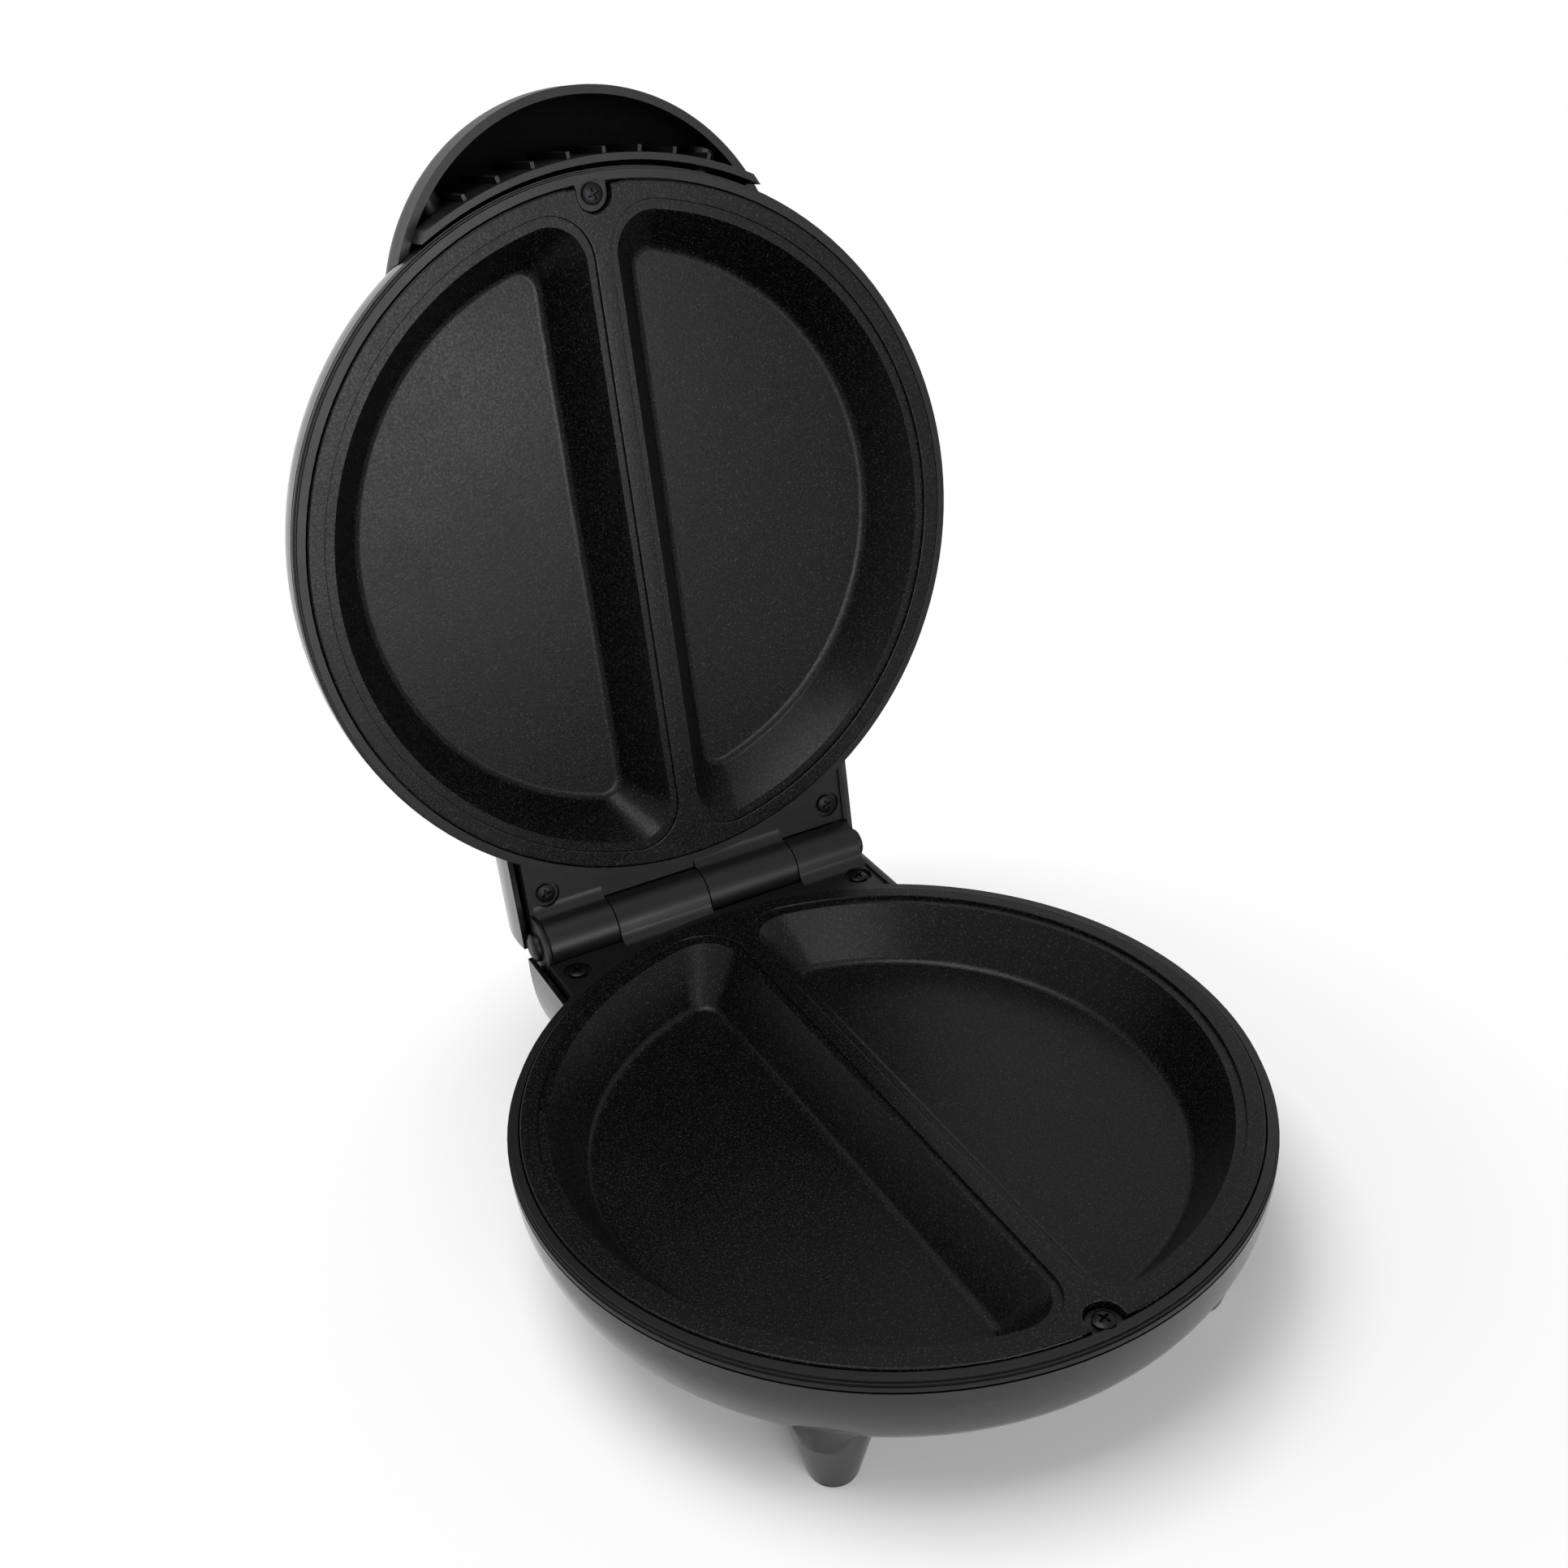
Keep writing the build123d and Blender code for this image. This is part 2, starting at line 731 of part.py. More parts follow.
def strap(x, y, radius, foot, level, thickness, width):
    # Bridge bent from a strip: two feet on the reflector and a span under the part that it holds.
    inner = radius + fit_clearance
    corners = [
        (x - inner - thickness - foot, reflector_foot),
        (x - inner, reflector_foot),
        (x - inner, level),
        (x + inner, level),
        (x + inner, reflector_foot),
        (x + inner + thickness + foot, reflector_foot),
        (x + inner + thickness + foot, reflector_foot - thickness),
        (x + inner + thickness, reflector_foot - thickness),
        (x + inner + thickness, level - thickness),
        (x - inner - thickness, level - thickness),
        (x - inner - thickness, reflector_foot - thickness),
        (x - inner - thickness - foot, reflector_foot - thickness),
    ]
    return along_y(make_face(Polyline(*corners, close=True)), y - width / 2, y + width / 2)


def thermostat_bracket():
    level = floor_foot - thermostat_height
    radius = thermostat_radius + thermostat_hole_clearance
    return strap(thermostat_x, 0, radius, strap_foot, level, strap_thickness, strap_width)


def fuse_axis():
    return reflector_foot - fuse_gap - fuse_radius


def thermal_fuse():
    body = Rot(90, 0, 0) * Cylinder(fuse_radius, fuse_length)
    return Pos(fuse_x, 0, fuse_axis()) * body


def fuse_clip():
    level = fuse_axis() - fuse_radius
    return strap(fuse_x, 0, fuse_radius, clip_width / 2, level, clip_thickness, clip_width)


def terminal_places():
    return [(index - (terminal_count - 1) / 2) * terminal_pitch for index in range(terminal_count)]


def terminal_block():
    half_width = terminal_count * terminal_pitch / 2
    body = block((-half_width, half_width), (terminal_y - terminal_depth / 2, terminal_y + terminal_depth / 2),
                 (bowl_floor, bowl_floor + terminal_height))
    for x in terminal_places():
        body -= Pos(x, terminal_y, wire_level) * Rot(90, 0, 0) * Cylinder(wire_hole_radius, 2 * terminal_depth)
        body -= rod(x, terminal_y, wire_level, bowl_floor + terminal_height + 1,
                    screw_radius + screw_clearance)
    return body


def terminal_screws():
    top = bowl_floor + terminal_height + 1
    return [rod(x, terminal_y, wire_level + wire_hole_radius, top, screw_radius + thread_clearance)
            for x in terminal_places()]


def wire(points):
    # Insulated wire through the given points, its corners bent to arcs.
    return swept_round(FilletPolyline(*points, radius=wire_bend), wire_radius)


def blade_tip(side):
    # Just off the end of one blade of the thermostat.
    y = side * (thermostat_radius + blade_length + wire_gap)
    return (thermostat_x, y, floor_foot - thermostat_height + blade_height)


def pin_side(side, turn):
    # Just off the side of one element pin, on its rear (turn 1) or front (turn -1).
    x, y = element_end(side)
    return (x, y + turn * (element_pin_radius + wire_gap), pin_wire_level)


def base_wires():
    front = terminal_y - terminal_depth / 2 + wire_insert
    left, middle, right = terminal_places()
    fuse_end = fuse_length / 2 + wire_gap
    element_x, element_y = element_end(1)
    to_thermostat = wire([(left, front, wire_level), (left, front - 20, wire_level),
                          (thermostat_x, thermostat_radius + 26, wire_level), blade_tip(1)])
    to_fuse = wire([(right, front, wire_level), (right, front - 22, wire_level),
                    (fuse_x, thermostat_radius + 25, wire_level), (fuse_x, fuse_end, fuse_axis())])
    to_element = wire([(middle, front, wire_level), (middle, front - 14, wire_level),
                       (element_x, element_y + 9, pin_wire_level), pin_side(1, 1)])
    fuse_to_thermostat = wire([(fuse_x, -fuse_end, fuse_axis()), (fuse_x, -fuse_end - 15, pin_wire_level + 3),
                               (thermostat_x, -thermostat_radius - 26, pin_wire_level + 3), blade_tip(-1)])
    return [to_thermostat, to_fuse, to_element, fuse_to_thermostat]


def lid_wires():
    right_x, right_y = element_end(1)
    left_x, left_y = element_end(-1)
    lamp_side = lamp_radius + wire_gap
    to_cutout = wire([pin_side(1, -1), (right_x, right_y - 12, pin_wire_level),
                      (thermostat_x, thermostat_radius + 26, wire_level), blade_tip(1)])
    to_lamp = wire([pin_side(-1, -1), (left_x, left_y - 20, pin_wire_level),
                    (-lamp_x, lamp_y + 20, pin_wire_level), (-lamp_x, lamp_y + lamp_side, pin_wire_level)])
    between_lamps = Pos(0, lamp_y, pin_wire_level) * Rot(0, 90, 0) * Cylinder(
        wire_radius, 2 * (lamp_x - lamp_side))
    return [to_cutout, to_lamp, between_lamps]


# ---- handle ----

def handle_bowl(inset, head):
    # Small bowl whose front is the outer skin of the handle.
    face = bowl_face(handle_radius - inset, handle_turn, handle_crown_flat, handle_crown + inset, head)
    return Pos(0, handle_centre_y, 0) * turned(face)


def handle_screw_line(side):
    # Place inside the front of the lid where a handle screw points outwards, its head on z = 0.
    angle = -90 + side * handle_screw_angle
    return Rot(0, 0, angle) * Pos(handle_screw_seat, 0, handle_screw_level) * Rot(0, 90, 0)


def handle():
    body = handle_bowl(0, handle_rim)
    space = handle_bowl(handle_wall, 1)
    ring = along_z(Circle(grip_wall_radius + grip_wall) - Circle(grip_wall_radius), handle_crown, 0)
    inner_wall = ring & space
    ribs = Part()
    for index in range(rib_count):
        angle = -90 + (index - (rib_count - 1) / 2) * rib_pitch_angle
        middle = grip_wall_radius + grip_wall / 2 + rib_height / 2
        rib = block((middle - (grip_wall + rib_height) / 2, middle + (grip_wall + rib_height) / 2),
                    (-rib_width / 2, rib_width / 2), (handle_crown, rib_top))
        ribs += Rot(0, 0, angle) * rib
    bosses = Part()
    for side in (-1, 1):
        bosses += handle_screw_line(side) * Pos(0, 0, handle_boss_length / 2) * Cylinder(
            handle_boss_radius, handle_boss_length)
    body = (body - space) + inner_wall + (ribs & space) + (bosses & space)
    body -= bowl(-handle_seat_gap, 1)
    for side in (-1, 1):
        body -= handle_screw_line(side) * Cylinder(screw_radius + thread_clearance, 2 * screw_length)
    return body


def handle_screws():
    return [handle_screw_line(side) * Rot(180, 0, 0) * screw(screw_length) for side in (-1, 1)]


# ---- lamps ----

def lamp_lens(side):
    body = rod(side * lamp_x, lamp_y, bowl_bottom - lens_rise, bowl_floor, lens_radius - fit_clearance)
    flange = rod(side * lamp_x, lamp_y, bowl_floor, bowl_floor + lens_flange_thickness,
                 lens_radius + lens_flange)
    return body + flange


def lamp(side):
    foot = bowl_floor + lens_flange_thickness
    return rod(side * lamp_x, lamp_y, foot, foot + lamp_length, lamp_radius)


def lamp_holder():
    # Bar round both lamps, standing on two legs on the inside of the lid.
    top = holder_level + holder_thickness
    body = Pos(0, lamp_y, holder_level + holder_thickness / 2) * Box(holder_length, holder_width, holder_thickness)
    for side in (-1, 1):
        body -= rod(side * lamp_x, lamp_y, holder_level - 1, top + 1, lamp_radius + fit_clearance)
        outer = side * holder_length / 2
        inner = side * (holder_length / 2 - holder_thickness)
        body += block(sorted((outer, inner)), (lamp_y - holder_width / 2, lamp_y + holder_width / 2),
                      (bowl_floor, top))
    return body


# ---- the parts of both halves ----

def half_parts(name):
    return {
        name + "_trim_ring": trim_ring(),
        name + "_cooking_plate": cooking_plate(),
        name + "_heating_element": heating_element(),
        name + "_element_beads": element_beads(),
        name + "_heat_reflector": heat_reflector(),
        name + "_reflector_screws": reflector_screws(),
        name + "_front_screw": front_screw(),
        name + "_hinge_screws": hinge_screws(),
    }


def base_parts():
    parts = half_parts("base")
    parts["base_housing"] = base_housing()
    names = ["front_left", "front_right", "rear_left", "rear_right"]
    for name, (x, y) in zip(names, leg_places()):
        parts["foot_pad_" + name] = foot_pad(x, y)
    parts["thermostat"] = thermostat()
    parts["thermostat_bracket"] = thermostat_bracket()
    parts["thermal_fuse"] = thermal_fuse()
    parts["fuse_clip"] = fuse_clip()
    parts["terminal_block"] = terminal_block()
    parts["terminal_screws"] = terminal_screws()
    parts["base_wires"] = base_wires()
    parts["hinge_pin"] = hinge_pin()
    return parts


def lid_parts():
    parts = half_parts("lid")
    parts["lid_housing"] = lid_housing()
    parts["lid_cutout"] = thermostat()
    parts["lid_cutout_bracket"] = thermostat_bracket()
    parts["lid_wires"] = lid_wires()
    parts["handle"] = handle()
    parts["handle_screws"] = handle_screws()
    parts["power_lamp_lens"] = lamp_lens(-1)
    parts["ready_lamp_lens"] = lamp_lens(1)
    parts["power_lamp"] = lamp(-1)
    parts["ready_lamp"] = lamp(1)
    parts["lamp_holder"] = lamp_holder()
    return parts


def as_list(shape):
    return shape if isinstance(shape, list) else [shape]


def whole_object():
    # Every part in place, with the lid open, before the origin is set.
    whole = {name: as_list(shape) for name, shape in base_parts().items()}
    for name, shape in lid_parts().items():
        whole[name] = [opened(to_lid(piece)) for piece in as_list(shape)]
    return whole


def footprint_centre_y(whole):
    # Middle of the open cooker from front to back.
    boxes = [piece.bounding_box() for pieces in whole.values() for piece in pieces]
    return (min(box.min.Y for box in boxes) + max(box.max.Y for box in boxes)) / 2


def main():
    os.makedirs("parts", exist_ok=True)
    whole = whole_object()
    centre_y = footprint_centre_y(whole)
    print("plate centre at y =", round(-centre_y, 3), " hinge axis at y =", round(hinge_y - centre_y, 3),
          "z =", round(flange_height + hinge_z, 3))
    place = Pos(0, -centre_y, flange_height)
    for name, pieces in whole.items():
        solids = [solid for piece in pieces for solid in (place * piece).solids()]
        shape = solids[0] if len(solids) == 1 else Compound(children=solids)
        export_step(shape, os.path.join("parts", name + ".step"))


main()
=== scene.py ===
import bmesh
import bpy
import json
import math
from mathutils import Matrix, Vector


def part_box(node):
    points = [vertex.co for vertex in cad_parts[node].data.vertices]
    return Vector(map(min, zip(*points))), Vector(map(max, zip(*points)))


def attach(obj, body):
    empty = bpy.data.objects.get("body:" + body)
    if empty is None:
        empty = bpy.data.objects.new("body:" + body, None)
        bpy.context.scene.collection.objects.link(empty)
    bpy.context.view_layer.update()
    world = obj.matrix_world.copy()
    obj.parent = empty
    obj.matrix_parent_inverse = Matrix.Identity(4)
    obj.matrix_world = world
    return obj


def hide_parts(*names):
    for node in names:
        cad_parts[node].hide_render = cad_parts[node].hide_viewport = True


# An electric omelette maker, standing open on a pale floor. Metres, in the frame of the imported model.

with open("model.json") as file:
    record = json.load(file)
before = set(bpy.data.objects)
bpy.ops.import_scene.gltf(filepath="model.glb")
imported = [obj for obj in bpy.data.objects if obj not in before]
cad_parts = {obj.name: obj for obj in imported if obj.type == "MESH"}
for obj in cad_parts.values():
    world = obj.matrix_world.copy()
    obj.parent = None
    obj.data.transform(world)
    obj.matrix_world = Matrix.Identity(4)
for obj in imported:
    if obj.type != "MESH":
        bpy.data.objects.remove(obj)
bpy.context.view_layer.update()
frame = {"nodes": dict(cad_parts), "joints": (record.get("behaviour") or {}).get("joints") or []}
bpy.ops.object.select_all(action="DESELECT")
print("frame: %d nodes" % len(frame["nodes"]))


# ---- camera ----
cameraView = {
    "place": (-0.18933, -0.35767, 0.35280),
    "azimuth": -25.34,      # degrees round the object, 0 looks along +Y
    "elevation": 32.89,
    "roll": -3.91,
    "lens": 42.28,
    "sensor": 36.0,
    "shift": (0.0280, 0.0645),
    "clip": (0.01, 50.0),
}


def makeCamera(view):
    azimuth, elevation, roll = (math.radians(view[k]) for k in ("azimuth", "elevation", "roll"))
    back = Vector((math.sin(azimuth) * math.cos(elevation),
                   -math.cos(azimuth) * math.cos(elevation), math.sin(elevation)))
    level = Vector((math.cos(azimuth), math.sin(azimuth), 0))
    upright = back.cross(level)
    right = level * math.cos(roll) + upright * math.sin(roll)
    up = upright * math.cos(roll) - level * math.sin(roll)
    camera = bpy.data.objects.new("camera", bpy.data.cameras.new("camera"))
    bpy.context.scene.collection.objects.link(camera)
    turn = Matrix((right, up, back)).transposed().to_4x4()
    camera.matrix_world = Matrix.Translation(view["place"]) @ turn
    camera.data.lens = view["lens"]
    camera.data.sensor_width = view["sensor"]
    camera.data.shift_x, camera.data.shift_y = view["shift"]
    camera.data.clip_start, camera.data.clip_end = view["clip"]
    bpy.context.scene.camera = camera


makeCamera(cameraView)
bpy.context.scene.view_settings.view_transform = "Standard"
print("camera")


# ---- material helpers ----
def newTree(name):
    material = bpy.data.materials.new(name)
    material.use_nodes = True
    tree = material.node_tree
    shader = tree.nodes["Principled BSDF"]
    return material, tree, shader


def addNode(tree, kind, settings=None, **inputs):
    node = tree.nodes.new("ShaderNode" + kind)
    for key, value in (settings or {}).items():
        setattr(node, key, value)
    for key, value in inputs.items():
        socket = node.inputs[int(key[1:])] if key[0] == "_" else node.inputs[key]
        if isinstance(value, bpy.types.NodeSocket):
            tree.links.new(value, socket)
        else:
            socket.default_value = value
    return node


def objectPoint(tree):
    return tree.nodes.new("ShaderNodeTexCoord").outputs["Object"]


def noise(tree, point, scale, detail=2.0, rough=0.5):
    return addNode(tree, "TexNoise", Vector=point, Scale=scale, Detail=detail, Roughness=rough).outputs["Fac"]


def ramp(tree, value, low, high, fromLow=0.0, fromHigh=1.0):
    return addNode(tree, "MapRange", Value=value, _1=fromLow, _2=fromHigh, _3=low, _4=high).outputs[0]


def blendColour(tree, factor, first, second):
    mix = tree.nodes.new("ShaderNodeMix")
    mix.data_type = "RGBA"
    tree.links.new(factor, mix.inputs[0])
    for slot, value in ((6, first), (7, second)):
        if isinstance(value, bpy.types.NodeSocket):
            tree.links.new(value, mix.inputs[slot])
        else:
            mix.inputs[slot].default_value = (*value, 1)
    return mix.outputs[2]


def bump(tree, shader, height, depth, strength):
    node = addNode(tree, "Bump", Height=height, Strength=strength, Distance=depth)
    tree.links.new(node.outputs[0], shader.inputs["Normal"])


tint = {"blue": 1.04}      # every black here leans a touch to blue
band = {"wide": (0.3, 0.7), "tight": (0.35, 0.65)}      # the stretch of a noise that a ramp spreads out


def grey(level):
    return (level, level, level * tint["blue"])


# ---- finishes of the visible mouldings ----
glossLook = {
    "low": 0.0028, "high": 0.0042,           # colour of the two tones
    "ior": 1.50,
    "rough": (0.12, 0.21),
    "hazeScale": 38, "hazeDetail": 5, "hazeRough": 0.6,
    "toneScale": 9, "toneDetail": 3,
    "skinScale": 420, "skinDetail": 2, "skinDepth": 0.00002, "skinStrength": 0.35,
}


def glossBlack(look):
    material, tree, shader = newTree("glossBlack")
    point = objectPoint(tree)
    shader.inputs["IOR"].default_value = look["ior"]
    haze = noise(tree, point, look["hazeScale"], look["hazeDetail"], look["hazeRough"])
    tree.links.new(ramp(tree, haze, *look["rough"], *band["wide"]), shader.inputs["Roughness"])
    tone = ramp(tree, noise(tree, point, look["toneScale"], look["toneDetail"]), 0, 1, *band["wide"])
    colour = blendColour(tree, tone, grey(look["low"]), grey(look["high"]))
    tree.links.new(colour, shader.inputs["Base Color"])
    skin = noise(tree, point, look["skinScale"], look["skinDetail"])
    bump(tree, shader, skin, look["skinDepth"], look["skinStrength"])
    return material


matteLook = {
    "low": 0.0022, "high": 0.0056,
    "ior": 1.29,
    "rough": (0.34, 0.44),
    "patchScale": 30, "patchDetail": 4,
    "grainScale": 2600, "grainDetail": 2, "grainDepth": 0.00006, "grainStrength": 0.5,
}


def matteBlack(look):
    material, tree, shader = newTree("matteBlack")
    point = objectPoint(tree)
    shader.inputs["IOR"].default_value = look["ior"]
    grain = noise(tree, point, look["grainScale"], look["grainDetail"])
    patch = noise(tree, point, look["patchScale"], look["patchDetail"])
    tree.links.new(ramp(tree, patch, *look["rough"], *band["wide"]), shader.inputs["Roughness"])
    tone = ramp(tree, grain, 0, 1, *band["tight"])
    colour = blendColour(tree, tone, grey(look["low"]), grey(look["high"]))
    tree.links.new(colour, shader.inputs["Base Color"])
    bump(tree, shader, grain, look["grainDepth"], look["grainStrength"])
    return material


nonstickLook = {
    "low": 0.0006, "high": 0.0022, "fleck": 0.022,
    "ior": 1.22,
    "rough": (0.29, 0.38), "sparkle": 0.08,
    "grainScale": 1500, "grainDetail": 3, "grainRough": 0.6,
    "grainDepth": 0.00006, "grainStrength": 0.6,
    "fleckScale": 2100, "fleckDetail": 1, "fleckFrom": 0.60, "fleckTo": 0.68,
    "cloudScale": 24, "cloudDetail": 4,
}


def nonstick(look):
    material, tree, shader = newTree("nonstick")
    point = objectPoint(tree)
    shader.inputs["IOR"].default_value = look["ior"]
    grain = noise(tree, point, look["grainScale"], look["grainDetail"], look["grainRough"])
    flecks = noise(tree, point, look["fleckScale"], look["fleckDetail"])
    fleck = ramp(tree, flecks, 0, 1, look["fleckFrom"], look["fleckTo"])
    clouds = noise(tree, point, look["cloudScale"], look["cloudDetail"])
    cloud = ramp(tree, clouds, *look["rough"], *band["wide"])
    tone = ramp(tree, grain, 0, 1, *band["tight"])
    ground = blendColour(tree, tone, grey(look["low"]), grey(look["high"]))
    tree.links.new(blendColour(tree, fleck, ground, grey(look["fleck"])), shader.inputs["Base Color"])
    glitter = ramp(tree, grain, -look["sparkle"], look["sparkle"], *band["tight"])
    rough = addNode(tree, "Math", {"operation": "ADD"}, _0=cloud, _1=glitter).outputs[0]
    tree.links.new(rough, shader.inputs["Roughness"])
    bump(tree, shader, grain, look["grainDepth"], look["grainStrength"])
    return material


# ---- finishes of the works inside ----
metalLook = {
    "shade": 0.72,                           # of the colour, in its darker stains
    "patchScale": 160, "patchDetail": 4, "stainScale": 60, "stainDetail": 5,
    "grainScale": 1500, "grainDetail": 2, "grainDepth": 0.00003, "grainStrength": 0.4,
}


def plainMetal(name, colour, roughLow, roughHigh):
    look = metalLook
    material, tree, shader = newTree(name)
    point = objectPoint(tree)
    shader.inputs["Metallic"].default_value = 1.0
    patch = noise(tree, point, look["patchScale"], look["patchDetail"])
    tree.links.new(ramp(tree, patch, roughLow, roughHigh, *band["wide"]), shader.inputs["Roughness"])
    shade = tuple(look["shade"] * c for c in colour)
    stain = ramp(tree, noise(tree, point, look["stainScale"], look["stainDetail"]), 0, 1, *band["wide"])
    tree.links.new(blendColour(tree, stain, shade, colour), shader.inputs["Base Color"])
    grain = noise(tree, point, look["grainScale"], look["grainDetail"])
    bump(tree, shader, grain, look["grainDepth"], look["grainStrength"])
    return material


mutedLook = {
    "shade": 0.8, "roughSpread": 0.06,
    "patchScale": 90, "patchDetail": 3,
    "grainScale": 900, "grainDetail": 3, "grainDepth": 0.00005, "grainStrength": 0.5,
}


def plainMatte(name, colour, rough):
    look = mutedLook
    material, tree, shader = newTree(name)
    point = objectPoint(tree)
    grain = noise(tree, point, look["grainScale"], look["grainDetail"])
    shade = tuple(look["shade"] * c for c in colour)
    tree.links.new(blendColour(tree, grain, shade, colour), shader.inputs["Base Color"])
    patch = noise(tree, point, look["patchScale"], look["patchDetail"])
    spread = look["roughSpread"]
    tree.links.new(ramp(tree, patch, rough - spread, rough + spread, *band["wide"]), shader.inputs["Roughness"])
    bump(tree, shader, grain, look["grainDepth"], look["grainStrength"])
    return material


finishes = {
    "gloss_black": glossBlack(glossLook),
    "matte_black": matteBlack(matteLook),
    "nonstick": nonstick(nonstickLook),
    "dark_steel": plainMetal("darkSteel", (0.016, 0.016, 0.017), 0.34, 0.5),
    "element_steel": plainMetal("elementSteel", (0.42, 0.41, 0.39), 0.35, 0.5),
    "sheet_aluminium": plainMetal("sheetAluminium", (0.75, 0.75, 0.76), 0.28, 0.42),
    "sheet_steel": plainMetal("sheetSteel", (0.6, 0.6, 0.61), 0.25, 0.4),
    "ceramic": plainMatte("ceramic", (0.86, 0.84, 0.78), 0.6),
    "terminal_brass": plainMetal("terminalBrass", (0.72, 0.56, 0.28), 0.25, 0.4),
    "wire_sleeve": plainMatte("wireSleeve", (0.82, 0.80, 0.74), 0.7),
    "black_rubber": plainMatte("blackRubber", (0.012, 0.012, 0.012), 0.7),
    "red_lens": plainMatte("redLens", (0.5, 0.02, 0.015), 0.15),
    "green_lens": plainMatte("greenLens", (0.02, 0.4, 0.06), 0.15),
    "lamp_glass": plainMatte("lampGlass", (0.9, 0.88, 0.85), 0.08),
}


def dressNodes():
    slotOf = {}
    for name, node in frame["nodes"].items():
        for slot in node.material_slots:
            base = slot.material.name.split(".")[0]
            if base in finishes:
                slot.material = finishes[base]
                slotOf[name] = base
        if name not in slotOf:
            print("no finish:", name, [s.material.name for s in node.material_slots])
    return slotOf


slotOfNode = dressNodes()
print("finishes: %d" % len(finishes))


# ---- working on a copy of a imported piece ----
hinge = {"place": Vector(frame["joints"][0]["pos_m"]), "open": frame["joints"][0]["range_deg"][1]}
turnedOver = Matrix.Translation((0, 0, 2 * hinge["place"].z)) @ Matrix.Diagonal((-1, 1, -1, 1))
swungOpen = (Matrix.Translation(hinge["place"]) @ Matrix.Rotation(math.radians(-hinge["open"]), 4, "X")
             @ Matrix.Translation(-hinge["place"]))
toLid = swungOpen @ turnedOver      # takes a base moulding to the same moulding of the open lid
tidying = {"mergeWithin": 1e-6, "flatWithin": 0.5, "smoothWithin": 32}      # metres, degrees, degrees
facing = 0.9      # a face looks along an axis when its normal has at least this much of it


def activate(piece):
    bpy.ops.object.select_all(action="DESELECT")
    piece.select_set(True)
    bpy.context.view_layer.objects.active = piece


def copyOf(node, name):
    piece = bpy.data.objects.new(name, frame["nodes"][node].data.copy())
    bpy.context.scene.collection.objects.link(piece)
    activate(piece)
    bpy.ops.object.mode_set(mode="EDIT")
    bpy.ops.mesh.select_all(action="SELECT")
    bpy.ops.mesh.customdata_custom_splitnormals_clear()
    bpy.ops.mesh.remove_doubles(threshold=tidying["mergeWithin"])
    bpy.ops.mesh.dissolve_limited(angle_limit=math.radians(tidying["flatWithin"]))
    bpy.ops.object.mode_set(mode="OBJECT")
    return piece


def roundEdges(piece, look):
    activate(piece)
    rounding = piece.modifiers.new("rounding", "BEVEL")
    rounding.width = look["width"]
    rounding.segments = look["steps"]
    rounding.limit_method = "ANGLE"
    rounding.angle_limit = math.radians(look["angle"])
    bpy.ops.object.modifier_apply(modifier=rounding.name)


def smooth(piece):
    activate(piece)
    bpy.ops.object.shade_smooth_by_angle(angle=math.radians(tidying["smoothWithin"]))
    flats = piece.modifiers.new("flats", "WEIGHTED_NORMAL")      # flat faces keep their flat shading
    flats.keep_sharp = True
    bpy.ops.object.modifier_apply(modifier=flats.name)


def place(piece, node, body):
    piece.data.materials.clear()
    piece.data.materials.append(finishes[slotOfNode[node]])
    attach(piece, body)
    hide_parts(node)


def lidTwin(piece, name):
    twin = bpy.data.objects.new(name, piece.data.copy())
    bpy.context.scene.collection.objects.link(twin)
    twin.data.transform(toLid)
    return twin


def selectWhere(piece, mode, test):
    activate(piece)
    bpy.ops.object.mode_set(mode="EDIT")
    bpy.ops.mesh.select_mode(type=mode)
    bpy.ops.mesh.select_all(action="DESELECT")
    shape = bmesh.from_edit_mesh(piece.data)
    parts = {"VERT": shape.verts, "EDGE": shape.edges, "FACE": shape.faces}[mode]
    for part in parts:
        if test(part):
            part.select_set(True)
    shape.select_flush_mode()
    bmesh.update_edit_mesh(piece.data)


# ---- cooking plates: the flange rolls over into the step of the ledge ----
plateLook = {
    "ledgeRoll": 0.00035, "ledgeSteps": 2,     # the edge that runs round each well
    "rimRoll": 0.0005, "rimSteps": 3,          # the edge against the trim ring
    "rimFrom": 0.0912,                         # from this radius outwards it is the rim
    "notchReach": 0.0085,                      # round the front screw
    "bentPast": 1.0,                           # degrees past which a face counts as bent and is split
    "atTop": 0.00001,                          # how far under the top face a vertex may lie
    "flat": 0.999, "steep": 0.5,               # rise of the top face, and the most that its neighbour has
}


